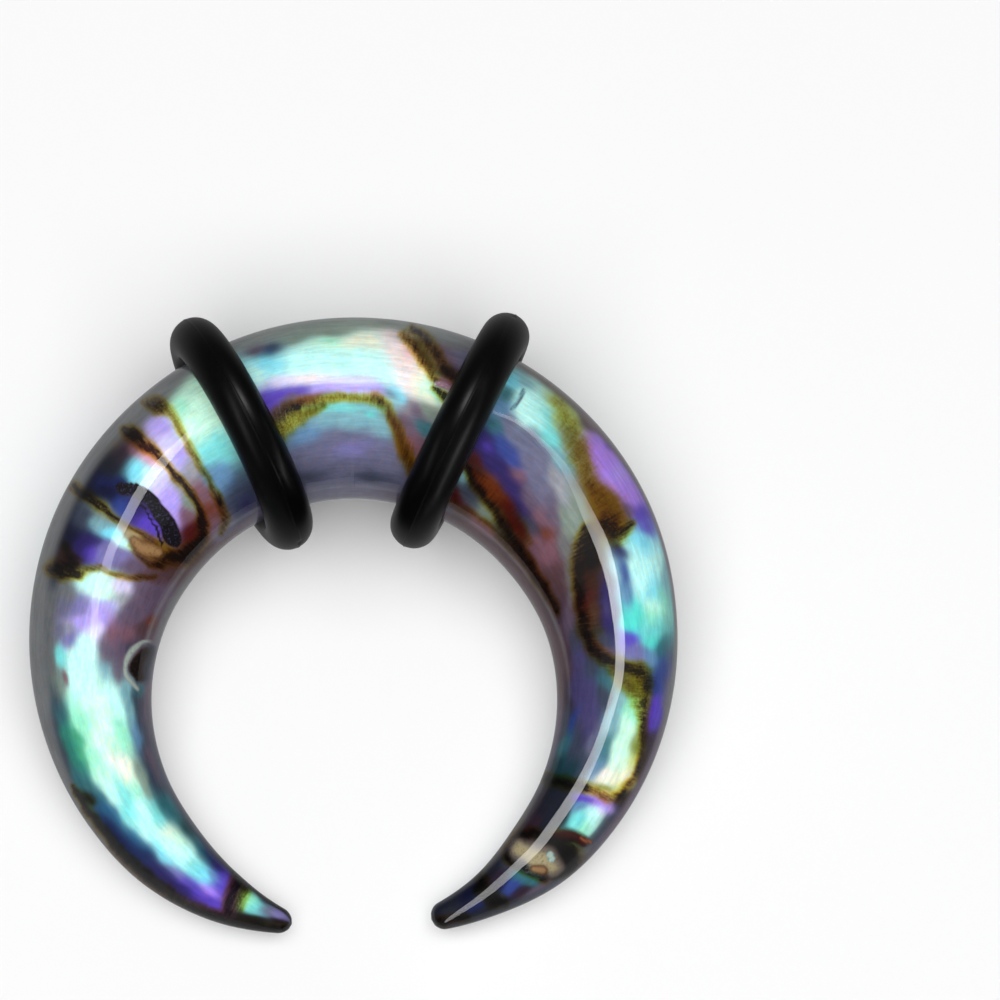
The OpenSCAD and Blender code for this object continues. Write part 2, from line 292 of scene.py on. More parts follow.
        (190, 828, 16, 7, 52), (557, 764, 12, 5, -66), (571, 768, 14, 6, -50), (560, 880, 12, 6, -30)),
    "orchid": (
        (209, 889, 10, 6, 40), (602, 452, 14, 9, 60), (611, 464, 14, 8, 58), (622, 482, 12, 8, 58),
        (631, 496, 13, 8, 60), (603, 803, 10, 6, 20)),
    "dark_olive": ((89, 796, 9, 5, 40),),
    "sea": ((105, 806, 16, 6, 55), (116, 814, 14, 5, 55), (137, 839, 20, 6, 48)),
    "dark_brown": ((256, 919, 14, 3, 12), (276, 920, 8, 3, 12)),
    "peach": ((404, 358, 8, 6, 80),),
    "pale_lime": (
        (345, 400, 30, 3, 0), (291, 425, 14, 5, -40), (552, 402, 12, 6, 50), (556, 420, 12, 5, 65),
        (568, 412, 14, 8, 60)),
    "lime": ((312, 412, 14, 4, -25), (630, 682, 12, 9, 70), (634, 746, 12, 4, -76), (604, 786, 8, 3, 20)),
    "turquoise": (
        (372, 416, 6, 3, 40), (637, 612, 12, 8, 85), (631, 622, 10, 6, 85), (652, 640, 10, 6, 88)),
    "olive": ((414, 341, 9, 4, 15), (424, 356, 14, 4, 56), (558, 834, 9, 4, -10)),
    "brown": (
        (480, 474, 9, 4, 55), (476, 486, 14, 3, 58), (498, 518, 18, 3, 58), (520, 550, 18, 3, 56),
        (542, 586, 18, 3, 60), (589, 578, 14, 8, 85)),
    "khaki": ((580, 456, 16, 5, 68),),
    "dusk": (
        (606, 606, 12, 4, 82), (578, 656, 14, 7, 80), (575, 690, 18, 7, 88), (588, 708, 16, 7, -85),
        (590, 690, 16, 7, -85), (586, 730, 14, 7, -74)),
    "yellow": ((630, 762, 10, 4, -72), (620, 786, 8, 5, -40)),
}

# Dark growth lines of the shell. They stain what lies under them amber, then brown, then black.
# Each has its darkness, how much it is flecked, and points in the picture with its width there
LINES = {
    "left_first_line": (0.58, 0.3, (
        (152, 401, 12), (161, 406, 14), (170, 412, 12), (178, 422, 9), (184, 434, 8), (190, 446, 8),
        (197, 459, 8), (207, 474, 8), (216, 492, 8), (221, 504, 8))),
    "left_first_shade": (0.62, 0.3, ((145, 401, 7), (154, 405, 12), (164, 409, 9))),
    "left_first_end": (0.55, 0.2, ((218, 497, 8), (225, 512, 10), (226, 523, 9), (222, 534, 6))),
    "loop_top": (1.0, 0.2, (
        (125, 429, 9), (134, 434, 14), (145, 443, 13), (155, 453, 10), (166, 463, 8), (176, 473, 8),
        (186, 485, 8), (195, 498, 8), (202, 511, 9), (205, 524, 10))),
    "loop_tan_low": (0.75, 0.3, ((131, 546, 5), (141, 556, 6), (152, 562, 6), (163, 566, 7))),
    "loop_tan_top": (0.7, 0.3, ((126, 523, 5), (136, 530, 5), (147, 536, 6), (158, 543, 6))),
    "loop_bottom": (1.0, 0.25, (
        (205, 524, 11), (203, 537, 13), (196, 547, 16), (186, 554, 18), (175, 557, 18), (165, 557, 14),
        (157, 553, 8))),
    "lens_left_arm": (0.92, 0.3, (
        (74, 486, 10), (85, 493, 11), (95, 501, 9), (104, 508, 8), (112, 514, 7), (120, 520, 5))),
    "third_blot": (0.97, 0.2, ((52, 568, 13), (60, 568, 18), (68, 570, 18), (77, 573, 12))),
    "third_blot_top": (0.7, 0.2, ((66, 545, 9), (71, 554, 13), (76, 563, 12))),
    "third_line": (0.6, 0.2, (
        (76, 574, 10), (84, 571, 8), (92, 568, 7), (101, 568, 6), (110, 572, 6), (122, 575, 7),
        (134, 577, 7), (146, 577, 6), (156, 575, 5))),
    "top_line": (0.5, 0.25, (
        (288, 409, 13), (302, 404, 12), (318, 400, 10), (336, 398, 10), (354, 398, 10), (368, 398, 11),
        (380, 402, 11))),
    "top_line_start": (0.6, 0.3, ((268, 434, 22), (277, 422, 20), (288, 412, 15), (300, 406, 9))),
    "top_line_patch": (0.42, 0.5, (
        (279, 444, 12), (286, 431, 17), (297, 421, 17), (310, 413, 13), (324, 406, 8))),
    "top_line_down": (0.58, 0.05, (
        (376, 399, 10), (387, 409, 12), (395, 423, 12), (401, 438, 13), (406, 453, 14), (412, 470, 14))),
    "top_second_brown": (0.78, 0.2, (
        (412, 328, 8), (422, 334, 11), (430, 346, 12), (438, 358, 13), (446, 370, 13), (455, 378, 9))),
    "top_second_line": (0.66, 0.3, (
        (403, 334, 8), (411, 343, 10), (417, 352, 10), (424, 363, 10), (431, 373, 9), (437, 382, 7))),
    "top_knot": (1.0, 0.1, ((434, 388, 5), (441, 393, 8), (449, 399, 9))),
    "fibre_patch": (0.38, 0.9, (
        (556, 400, 12), (564, 412, 18), (570, 425, 22), (575, 440, 24), (579, 455, 25), (585, 470, 24))),
    "fibre_low": (0.46, 0.4, (
        (591, 484, 16), (598, 494, 24), (605, 505, 30), (611, 516, 30), (614, 527, 24))),
    "fibre_end": (0.75, 0.2, ((606, 524, 20), (614, 533, 20), (624, 530, 14), (630, 523, 9))),
    "right_first_flank": (0.36, 0.2, (
        (472, 460, 8), (483, 476, 13), (495, 491, 16), (508, 508, 16), (520, 525, 14), (528, 541, 10))),
    "right_first_line": (0.8, 0.1, (
        (462, 459, 8), (470, 474, 10), (479, 489, 11), (490, 504, 12), (501, 520, 12), (511, 536, 12),
        (520, 551, 12), (530, 566, 11), (540, 581, 10), (549, 596, 9), (556, 612, 7))),
    "right_inner_band": (0.4, 0.2, (
        (448, 500, 8), (466, 510, 8), (486, 524, 8), (506, 542, 8), (524, 562, 7))),
    "right_loop": (0.92, 0.25, (
        (586, 528, 12), (583, 542, 17), (580, 556, 17), (579, 572, 15), (579, 588, 13), (580, 604, 13),
        (583, 620, 14), (587, 636, 15), (593, 648, 15), (603, 657, 14), (615, 663, 13), (628, 667, 13),
        (640, 670, 15))),
    "right_loop_top": (1.0, 0.2, ((590, 535, 13), (592, 548, 17), (591, 562, 14))),
    "right_loop_inside": (0.34, 0.2, ((590, 575, 14), (593, 592, 16), (595, 610, 15), (598, 628, 13))),
    "right_fibres": (0.48, 0.4, (
        (612, 672, 10), (622, 678, 15), (631, 687, 16), (637, 702, 12), (640, 718, 8))),
    "right_loop_down": (0.7, 0.25, (
        (641, 671, 16), (645, 682, 14), (645, 698, 12), (644, 714, 10), (643, 730, 9), (642, 746, 9),
        (640, 760, 9), (635, 774, 9), (628, 786, 9), (621, 796, 9))),
    "right_crossing": (0.62, 0.2, (
        (578, 786, 9), (590, 789, 10), (602, 793, 11), (613, 797, 11), (621, 797, 8))),
    "right_crossing_dark": (0.88, 0.25, (
        (540, 776, 12), (553, 779, 13), (564, 781, 13), (575, 784, 11), (584, 787, 8))),
    "knot_dark": (1.0, 0.2, (
        (543, 843, 12), (556, 846, 22), (566, 852, 28), (568, 862, 24), (560, 870, 14))),
    "knot_dark_left": (0.95, 0.3, (
        (541, 836, 9), (530, 833, 12), (519, 837, 12), (511, 845, 11), (508, 856, 10), (514, 864, 7),
        (523, 869, 7), (535, 873, 9), (546, 877, 9), (556, 872, 9))),
    "tip_dark_inner": (1.0, 0.2, ((477, 874, 9), (483, 882, 13), (478, 888, 9))),
    "tip_dark_outer": (1.0, 0.2, ((488, 896, 11), (496, 900, 15), (504, 904, 9))),
    "right_tip": (1.0, 0.2, ((438, 924, 14), (448, 920, 10), (458, 918, 10), (468, 919, 7))),
    "left_rim": (0.92, 0.15, (
        (73, 787, 6), (85, 805, 8), (102, 830, 10), (125, 857, 12), (152, 882, 13), (187, 906, 14),
        (222, 920, 13), (254, 927, 12), (284, 929, 11))),
    "left_rim_start": (0.7, 0.3, ((76, 793, 7), (84, 797, 8), (92, 800, 7))),
    "left_tip_line": (1.0, 0.1, (
        (245, 866, 10), (240, 877, 15), (235, 888, 15), (231, 899, 14), (228, 910, 12))),
    "left_tip_lime": (0.5, 0.4, ((248, 886, 9), (243, 897, 12), (239, 908, 11))),
    "left_tip_inner": (0.6, 0.1, (
        (200, 822, 3), (222, 848, 5), (240, 868, 6), (256, 882, 6), (272, 894, 6), (286, 908, 7))),
}

# Marks of the shell with a hue of their own: at the middle and at the edge, a hue that flecks
# it, how much it is flecked, and points in the picture with the width there
MARKS = {
    "loop_tan": ("tan", "brown", "dark_brown", 0.4, (
        (134, 541, 9), (142, 546, 14), (151, 549, 14), (160, 551, 10))),
    "lens": ("black", "dark_brown", "dusk", 0.28, (
        (122, 487, 12), (132, 489, 14), (143, 493, 15), (154, 502, 16), (163, 514, 17), (170, 527, 18),
        (175, 540, 17))),
    "lens_fold": ("black", "indigo", "black", 0.3, (
        (137, 503, 3), (144, 508, 3), (150, 516, 3), (156, 525, 3), (160, 534, 3), (164, 543, 3))),
    "hole": ("dark_slate", "slate", "black", 0.7, ((152, 650, 12), (146, 660, 18), (143, 674, 16))),
    "hole_dark": ("black", "dark_brown", "brown", 0.4, (
        (144, 652, 8), (138, 659, 10), (136, 668, 11), (138, 677, 8))),
    "hole_ring": ("grey_green", "grey", "black", 0.35, (
        (153, 641, 2), (143, 643, 4), (135, 648, 5), (129, 656, 5), (127, 665, 4), (128, 675, 4),
        (132, 683, 4), (139, 689, 3))),
    "top_pale_streak": ("rose", "mauve", "pale_grey", 0.4, ((437, 384, 4), (447, 388, 5), (457, 391, 5))),
    "right_crack": ("slate", "teal", "white_lilac", 0.2, ((524, 391, 3), (518, 401, 4), (512, 410, 3))),
    "knot_red": ("dark_red", "dark_brown", "black", 0.6, (
        (551, 838, 9), (561, 836, 12), (572, 837, 14), (584, 840, 11))),
    "knot_flame": ("orange", "dark_red", "dark_red", 0.4, ((580, 837, 2), (586, 839, 4), (592, 841, 3))),
    "knot_black": ("black", "black", "dark_brown", 0.3, (
        (548, 844, 14), (558, 850, 22), (566, 856, 24), (562, 867, 18), (554, 874, 10))),
    "knot": ("khaki", "grey_brown", "dark_olive", 0.55, (
        (518, 847, 15), (526, 852, 18), (536, 857, 20), (545, 861, 19), (552, 867, 14))),
    "knot_rose": ("tan", "brown", "grey_brown", 0.6, ((536, 867, 6), (544, 870, 7))),
    "knot_speck": ("grey_green", "teal", "aqua", 0.3, ((550, 854, 7), (553, 858, 6))),
    "knot_eye": ("black", "dark_brown", "grey", 0.3, ((522, 866, 6), (528, 869, 7))),
}

# Marks with a clean edge; all the others fade into the shell round them
CRISP = ("lens", "lens_fold", "knot_eye", "knot_speck")
CRISP_STEEPNESS = 4.1
CRISP_START = 1.67

# How far out from its middle a stroke is followed, in its widths, and how fast a line fades
FOLLOWED = 1.3
LINE_FALL = 3.9

# Plain bands along the two sides of the crescent, where the sheets of shell meet. Their grey is partly a
# painted grazing reflection, standing in for the clear rim seen edge-on: angle from the top, then the
# width in the picture and the hue at the outer and at the inner side
SIDE_BANDS = (
    (-166, 8, "dark_brown", 4, "black"), (-150, 10, "dark_brown", 4, "black"),
    (-135, 7, "grey_brown", 4, "slate"), (-115, 9, "grey", 7, "slate"),
    (-95, 15, "grey", 8, "mauve"), (-70, 16, "grey", 8, "grey"), (-45, 15, "grey", 7, "brown_mauve"),
    (-25, 15, "grey", 16, "grey_lavender"), (0, 14, "grey_green", 13, "grey_lavender"),
    (20, 10, "grey", 14, "mauve"), (35, 9, "grey_brown", 11, "brown_mauve"),
    (60, 4, "mauve", 10, "brown_mauve"), (82, 4, "grey", 8, "brown_mauve"), (95, 6, "grey", 8, "brown_mauve"),
    (105, 7, "mauve", 6, "mauve"), (120, 7, "mauve", 5, "slate"), (135, 7, "slate", 5, "grey_brown"),
    (150, 6, "dark_slate", 4, "dark_slate"), (163, 4, "dark_slate", 4, "dark_slate"),
)

# A painted reflection: the pale line along the inner side, where the polish mirrors the studio. Its
# distance from the edge and half width in the picture, how strongly it shows, and the angles between
# which it fades
REFLECTED_LINE_AT = 13
REFLECTED_LINE_W = 1.8
REFLECTED_LINE_COVER = 0.25
REFLECTED_LINE_FADES = (70, 105)

# The back sheet of shell is another slice: its pattern is mirrored and turned by this much
BACK_TURN = 17.0

# Long window reflections in the polish: points in the picture, with the width and brightness there
REFLECTIONS = {
    "left": (
        (194, 424, 3, 2), (184, 440, 7, 4), (164, 461, 10, 5), (144, 487, 10, 6), (130, 512, 10, 6),
        (112, 550, 9, 5), (105, 573, 9, 3), (97, 595, 8, 3), (95, 617, 7, 3), (94, 640, 6, 2),
        (94, 662, 3, 1)),
    "right": (
        (493, 412, 3, 2.5), (519, 423, 4, 3), (541, 441, 5, 2.2), (561, 463, 7, 1.8), (576, 489, 9, 2),
        (591, 521, 13, 4.5), (603, 548, 14, 8), (612, 580, 12, 11), (617, 611, 11, 11),
        (620, 640, 10, 10), (620, 662, 9, 9), (618, 682, 9, 8), (612, 704, 9, 7.5), (604, 730, 9, 7),
        (594, 756, 9, 6.5), (579, 786, 10, 7), (560, 815, 10, 6.5), (538, 845, 10, 6.5),
        (518, 865, 9, 6), (496, 885, 8, 5), (474, 902, 6, 5), (456, 914, 4, 5), (443, 923, 2, 5)),
}


def column(angle):
    """The taper's column for the horn that an angle lies on."""
    return np.where(angle < 0, 1, 2)


def body_r(angle):
    """Radius of the clear coat at angles from the top, by a smooth cubic through TAPER."""
    rows = np.array(TAPER)
    deg = np.abs(angle)
    i = np.clip(np.searchsorted(rows[:, 0], deg, side="right") - 1, 0, len(rows) - 2)
    ahead = np.minimum(np.arange(len(rows)) + 1, len(rows) - 1)
    behind = np.maximum(np.arange(len(rows)) - 1, 0)
    slopes = (rows[ahead] - rows[behind]) / (rows[ahead, :1] - rows[behind, :1])
    slopes[0] = 0
    col = column(angle)
    span = rows[i + 1, 0] - rows[i, 0]
    t = (deg - rows[i, 0]) / span
    share = (rows[i, col] * (2 * t ** 3 - 3 * t ** 2 + 1) + rows[i + 1, col] * (3 * t ** 2 - 2 * t ** 3)
             + span * (slopes[i, col] * (t ** 3 - 2 * t ** 2 + t) + slopes[i + 1, col] * (t ** 3 - t ** 2)))
    return SEAT_R * share


def tip_share(angle, short):
    """Elliptical rounding that closes a horn at its tip."""
    tip = np.where(angle < 0, -LEFT_TIP, RIGHT_TIP) - short
    into = np.clip((np.abs(angle) - tip + TIP_ROUND) / TIP_ROUND, 0, 1)
    return np.sqrt(1 - into ** 2)


def core_r(angle):
    return CORE_SHARE * body_r(angle) - CORE_GAP


def coat_r(angle):
    return body_r(angle) - COAT_SHRINK


def read_points(bm):
    return np.array([v.co for v in bm.verts])


def write_points(bm, points):
    for vert, point in zip(bm.verts, points):
        vert.co = point


def angle_and_turn(points):
    """Angle from the top and turn round the centreline, in degrees, with the distance from it."""
    out = np.hypot(points[:, 0], points[:, 1]) - CENTRELINE_R
    angle = np.degrees(np.arctan2(points[:, 0], points[:, 1]))
    return angle, np.degrees(np.arctan2(points[:, 2], out)), np.hypot(out, points[:, 2])


def place(angle, turn, r):
    """Points at an angle from the top, a turn round the centreline and a distance from it."""
    angle = np.radians(angle)
    turn = np.radians(turn)
    reach = CENTRELINE_R + r * np.cos(turn)
    return np.stack((reach * np.sin(angle), reach * np.cos(angle), r * np.sin(turn)), axis=1)


def spun_horns(sides, stations, short, crowding, front, radius):
    """A closed crescent skin: a circle spun from tip to tip, then drawn in to its radius.

    Crowding draws its sections towards the tips, front draws its sides towards the top."""
    left = LEFT_TIP + short
    right = RIGHT_TIP - short
    bm = bmesh.new()
    circle = bmesh.ops.create_circle(bm, segments=sides // FINER, radius=1.0)["verts"]
    bmesh.ops.rotate(bm, verts=circle, cent=(0, 0, 0), matrix=Matrix.Rotation(math.pi / 2, 3, "Y"))
    bmesh.ops.translate(bm, verts=circle, vec=(0, CENTRELINE_R, 0))
    bmesh.ops.rotate(bm, verts=circle, cent=(0, 0, 0), matrix=Matrix.Rotation(math.radians(-left), 3, "Z"))
    bmesh.ops.spin(bm, geom=bm.verts[:] + bm.edges[:], cent=(0, 0, 0), axis=(0, 0, -1), dvec=(0, 0, 0),
                   angle=math.radians(right - left), steps=stations // FINER, use_duplicate=False)
    bmesh.ops.subdivide_edges(bm, edges=bm.edges, cuts=FINER - 1, use_grid_fill=True)
    angle, turn, _ = angle_and_turn(read_points(bm))
    u = np.clip((2 * angle - left - right) / (right - left), -1, 1)
    u = (1 - crowding) * u + crowding * np.sin(u * math.pi / 2)
    angle = (left + right + u * (right - left)) / 2
    turn = turn + np.degrees(front * np.cos(np.radians(turn)))
    write_points(bm, place(angle, turn, radius(angle) * tip_share(angle, short)))
    bmesh.ops.remove_doubles(bm, verts=bm.verts, dist=1e-4)
    bmesh.ops.recalc_face_normals(bm, faces=bm.faces)
    return bm


def resting_place(middle_x):
    """Lays a shape drawn flat about the crescent's centre down as the frame has it, in metres."""
    seat = Vector(frame["record"]["mounts"][0]["pos_m"])
    tilt = math.radians(REST_TILT)
    centre = seat - Vector((0, math.cos(tilt), math.sin(tilt))) * CENTRELINE_R * MM
    centre.x = -middle_x * MM
    return Matrix.Translation(centre) @ Matrix.Rotation(tilt, 4, "X") @ Matrix.Scale(MM, 4)


def add_object(name, bm, material):
    """Puts a mesh into the scene as an object of one material."""
    mesh = bpy.data.meshes.new(name)
    bm.to_mesh(mesh)
    bm.free()
    mesh.materials.append(material)
    added = bpy.data.objects.new(name, mesh)
    bpy.context.scene.collection.objects.link(added)
    return added


def finish_piece(name, bm, matrix, material, node):
    """Makes a piece of a mesh drawn in millimetres, in place of a node of the frame."""
    bm.transform(matrix)
    piece = add_object(name, bm, material)
    piece.data.polygons.foreach_set("use_smooth", [True] * len(piece.data.polygons))
    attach(piece, "root")
    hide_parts(node)
    return piece


def linear(hue):
    """A named hue as the linear light values that shaders work in."""
    srgb = np.array(HUES[hue])
    return np.where(srgb <= 0.04045, srgb / 12.92, ((srgb + 0.055) / 1.055) ** 2.4)


def smooth_step(low, high, x):
    t = np.clip((x - low) / (high - low), 0, 1)
    return t * t * (3 - 2 * t)


def polar_from_share():
    """For a share across the coat's width as seen from the front, the core's own angle there.

    The clear coat bends the view, so the core looks as wide as the coat does."""
    share = np.linspace(0, 1, 200)
    inside = np.arcsin(share / RESIN_IOR)
    core = CORE_SHARE - CORE_GAP / SEAT_R
    polar = np.arcsin(share) + np.arcsin(share / RESIN_IOR / core) - inside
    return share, np.degrees(polar)


# How many waves, each in a direction of its own, move the shell's pattern about
WAVES = 7


def wander(points, size, reach, seed):
    """Moves points about a little, smoothly, so that nothing on the shell looks ruled."""
    moved = points.copy()
    for step in range(WAVES):
        heading = 2.4 * step + seed
        k = 2 * math.pi / size * (0.7 + 0.27 * step)
        onward = moved[:, 0] * math.cos(heading) + moved[:, 1] * math.sin(heading)
        wave = np.sin(k * onward + 1.7 * seed * step)
        moved[:, 0] += 0.45 * reach * wave * math.cos(heading + 2)
        moved[:, 1] += 0.45 * reach * wave * math.sin(heading + 2)
    return moved


def picture_places(points):
    """Where points of the core show in the picture, and their share across the width there.

    The back sheet reads the same picture, mirrored and turned."""
    angle, turn, _ = angle_and_turn(points)
    polar = np.degrees(np.arctan2(np.cos(np.radians(turn)), np.sin(np.radians(turn))))
    share, table = polar_from_share()
    seam = table[-1]
    back = np.abs(polar) > seam
    polar = np.where(back, np.sign(polar) * (180 - np.abs(polar)) * seam / (180 - seam), polar)
    taper_off = np.cos(np.radians(np.clip(angle / -LEFT_TIP * 90, -90, 90)))
    angle = np.where(back, -angle + BACK_TURN * taper_off, angle)
    across = np.sign(polar) * np.interp(np.abs(polar), table, share)
    reach = (CENTRELINE_R + across * body_r(angle)) / PX_MM
    x = CENTRE_PX[0] + reach * np.sin(np.radians(angle))
    y = CENTRE_PX[1] - reach * np.cos(np.radians(angle))
    return np.stack((x, y), axis=1), angle, across


# How wide a glow is for its radius, how fast it fades beyond that, and the contrast between glows
GLOW_SPREAD = 0.6
GLOW_FALL = 3.5
GLOW_CONTRAST = 1.22


def glow_colours(places):
    """Colours of the shell's soft glows, with their painted sheen, each place taking most from the glows
    nearest to it.
    """
    total = np.full(len(places), 1e-6)
    colour = np.outer(total, linear("slate"))
    for hue, glows in GLOWS_AND_PAINTED_SHEEN.items():
        for x, y, long, short, turn in glows:
            c = math.cos(math.radians(turn))
            s = math.sin(math.radians(turn))
            dx = places[:, 0] - x
            dy = places[:, 1] - y
            along = (dx * c + dy * s) / long
            side = (dy * c - dx * s) / short
            weight = (1 + GLOW_SPREAD * (along ** 2 + side ** 2)) ** -GLOW_FALL
            total += weight
            colour += weight[:, None] * linear(hue)
    return (colour / total[:, None]) ** GLOW_CONTRAST


# Steps of a smooth route between two of its points, for the strokes of the shell and for the ribbons
STROKE_PIECES = 8
RIBBON_PIECES = 6


def smooth_route(points, pieces):
    """A smooth curve through given points, each with its width."""
    p = np.array(points, float)
    p = np.vstack((2 * p[0] - p[1], p, 2 * p[-1] - p[-2]))
    t = np.linspace(0, 1, pieces, endpoint=False)[:, None]
    route = []
    for a, b, c, d in zip(p, p[1:], p[2:], p[3:]):
        route.append(0.5 * (2 * b + (c - a) * t + (2 * a - 5 * b + 4 * c - d) * t ** 2
                            + (3 * b - a - 3 * c + d) * t ** 3))
    return np.vstack(route + [p[-2:-1]])


def widths_away(places, points):
    """Distance from the middle of a stroke, counted in its widths there."""
    route = smooth_route(points, STROKE_PIECES)
    pad = FOLLOWED * route[:, 2].max()
    low = route[:, :2].min(axis=0) - pad
    high = route[:, :2].max(axis=0) + pad
    near = np.flatnonzero(np.all((places > low) & (places < high), axis=1))
    away = np.full(len(places), FOLLOWED)
    if len(near):
        gaps = places[near, None, :] - route[None, :, :2]
        away[near] = (np.hypot(gaps[..., 0], gaps[..., 1]) / route[None, :, 2]).min(axis=1)
    return away


def band_colours(angle, across, colour):
    """Blends the plain side bands over the glows, their grey partly a painted grazing reflection, then adds
    the painted reflection line along the inner side.
    """
    rows = sorted(SIDE_BANDS)
    at = [row[0] for row in rows]
    for side, width_col in ((1, 1), (-1, 3)):
        width = np.interp(angle, at, [row[width_col] for row in rows])
        hue = np.stack([np.interp(angle, at, [linear(row[width_col + 1])[k] for row in rows])
                        for k in range(3)], axis=1)
        from_edge = (1 - side * across) * body_r(angle) / PX_MM
        cover = 1 - smooth_step(0.45, 1.25, from_edge / width)
        colour = colour + cover[:, None] * (hue - colour)
    # Painted reflection: a pale line along the inner side, blended towards pale grey
    shown = REFLECTED_LINE_COVER * (1 - smooth_step(*REFLECTED_LINE_FADES, np.abs(angle)))
    seam = np.exp(-((from_edge - REFLECTED_LINE_AT) / REFLECTED_LINE_W) ** 2) * shown
    return colour + seam[:, None] * (linear("pale_grey") - colour)


def paint_core(mesh_points):
    """The core's paint: colours of glows, marks and flecks, and values of cover, darkness and flecking."""
    seen, angle, across = picture_places(mesh_points)
    places = wander(seen, 40, 1.2, 1)
    # The glows carry the shell's colours with painted sheen; the side bands add painted reflections
    glow = band_colours(angle, across, glow_colours(wander(seen, 60, 1.5, 2)))
    ink = glow.copy()
    fleck = glow.copy()
    cover = np.zeros(len(places))
    dark = np.zeros(len(places))
    flecking = np.zeros(len(places))
    for darkness, amount, points in LINES.values():
        shade = darkness * np.exp(-LINE_FALL * widths_away(places, points) ** 2)
        flecking += shade * (amount - flecking)
        dark += shade * (1 - dark)
    for name, (middle, edge, speck, amount, points) in MARKS.items():
        near = np.clip(1 - widths_away(places, points), 0, 1)
        if name in CRISP:
            near = np.clip(CRISP_STEEPNESS * near - CRISP_START, 0, 1)
        over = smooth_step(0.02, 0.5, near)[:, None]
        core = smooth_step(0.4, 0.85, near)[:, None]
        hue = linear(edge) + core * (linear(middle) - linear(edge))
        ink = ink + over * (hue - ink)
        fleck = fleck + over * (linear(speck) - fleck)
        flecking += over[:, 0] * (amount - flecking)
        cover = np.maximum(cover, near)
    return {"glow": glow, "ink": ink, "fleck": fleck}, {"cover": cover, "dark": dark, "flecking": flecking}


def add_colour(mesh, name, rgb):
    attribute = mesh.attributes.new(name, "FLOAT_COLOR", "POINT")
    attribute.data.foreach_set("color", np.column_stack((rgb, np.ones(len(rgb)))).astype(np.float32).ravel())


def add_value(mesh, name, values):
    attribute = mesh.attributes.new(name, "FLOAT", "POINT")
    attribute.data.foreach_set("value", values.astype(np.float32))


def add_vector(mesh, name, values):
    attribute = mesh.attributes.new(name, "FLOAT_VECTOR", "POINT")
    attribute.data.foreach_set("vector", values.astype(np.float32).ravel())


class Wire:
    """An output socket of a shader, on which Python arithmetic adds Math nodes."""

    def __init__(self, finish, socket):
        self.finish = finish
        self.socket = socket

    def maths(self, operation, *values):
        return self.finish.node("ShaderNodeMath", {"operation": operation}, dict(enumerate(values)))

    def __add__(self, other):
        return self.maths("ADD", self, other)

    def __sub__(self, other):
        return self.maths("SUBTRACT", self, other)

    def __mul__(self, other):
        return self.maths("MULTIPLY", self, other)

    def __rsub__(self, other):
        return self.maths("SUBTRACT", other, self)

    __radd__ = __add__
    __rmul__ = __mul__


# Places of the colour sockets of a Mix node, whose names repeat
MIX_FACTOR = 0
MIX_A = 6
MIX_B = 7
MIX_RESULT = 2


class Finish:
    """A material, or the world, and its nodes."""

    def __init__(self, name, world=None):
        self.material = world or bpy.data.materials.new(name)
        self.material.use_nodes = True
        self.tree = self.material.node_tree
        self.tree.nodes.clear()

    def node(self, kind, settings=None, inputs=None, output=0):
        """Adds a node, makes its settings, gives its inputs their values or links, and returns an output."""
        made = self.tree.nodes.new(kind)
        for key, value in (settings or {}).items():
            setattr(made, key, value)
        for key, value in (inputs or {}).items():
            if isinstance(value, Wire):
                self.tree.links.new(value.socket, made.inputs[key])
            else:
                made.inputs[key].default_value = value
        return Wire(self, made.outputs[output]) if made.outputs else None

    def attribute(self, name, output="Color"):
        return self.node("ShaderNodeAttribute", {"attribute_name": name}, output=output)

    def stretched(self, vector, scale):
        return self.node("ShaderNodeVectorMath", {"operation": "MULTIPLY"}, {0: vector, 1: scale})

    def noise(self, vector, scale, detail=3.0, roughness=0.5, distortion=0.0):
        return self.node("ShaderNodeTexNoise", None, {
            "Vector": vector, "Scale": scale, "Detail": detail, "Roughness": roughness,
            "Distortion": distortion})

    def step(self, value, low, high):
        """Rises smoothly from 0 to 1 while a value goes from low to high."""
        return self.node("ShaderNodeMapRange", {"interpolation_type": "SMOOTHSTEP"}, {
            "Value": value, "From Min": low, "From Max": high})

    def blend(self, factor, a, b, mode="MIX"):
        return self.node("ShaderNodeMix", {"data_type": "RGBA", "blend_type": mode}, {
            MIX_FACTOR: factor, MIX_A: a, MIX_B: b}, MIX_RESULT)

    def bump(self, height, strength, distance):
        return self.node("ShaderNodeBump", None, {
            "Height": height, "Strength": strength, "Distance": distance})

    def surface(self, shader):
        """Ends the material with a shader and hands it over."""
        self.node("ShaderNodeOutputMaterial", None, {"Surface": shader})
        return self.material


# Share of the light that the shell's darkest fibres give back
SHELL_LIGHT = 0.60

# Tints between which the shell shimmers
COOL = (0.86, 0.99, 1.05, 1)
WARM = (1.05, 1.00, 0.94, 1)

# Stains of a growth line, amber, brown and blackish: the darkness at which each starts and at
# which it is full, and what it lets through
STAINS = (
    (0.02, 0.36, (0.80, 0.62, 0.19, 1)),
    (0.28, 0.62, (0.40, 0.22, 0.04, 1)),
    (0.54, 0.86, (0.045, 0.022, 0.014, 1)),
)

# How finely each pattern of the shell repeats, along the horn and in the two directions across it
FIBRES = (0.45, 3.4, 3.4)
RINGS_OF_GROWTH = (3.6, 0.6, 0.6)
SHIMMER = (1.5, 4.4, 4.4)
HAIRS = (7.0, 1.2, 1.2)
SPECKS = (2.6, 3.4, 3.4)

# Depth of the fine relief, in metres
SHELL_RELIEF = 0.00006
RESIN_RELIEF = 0.00004
RUBBER_RELIEF = 0.000012


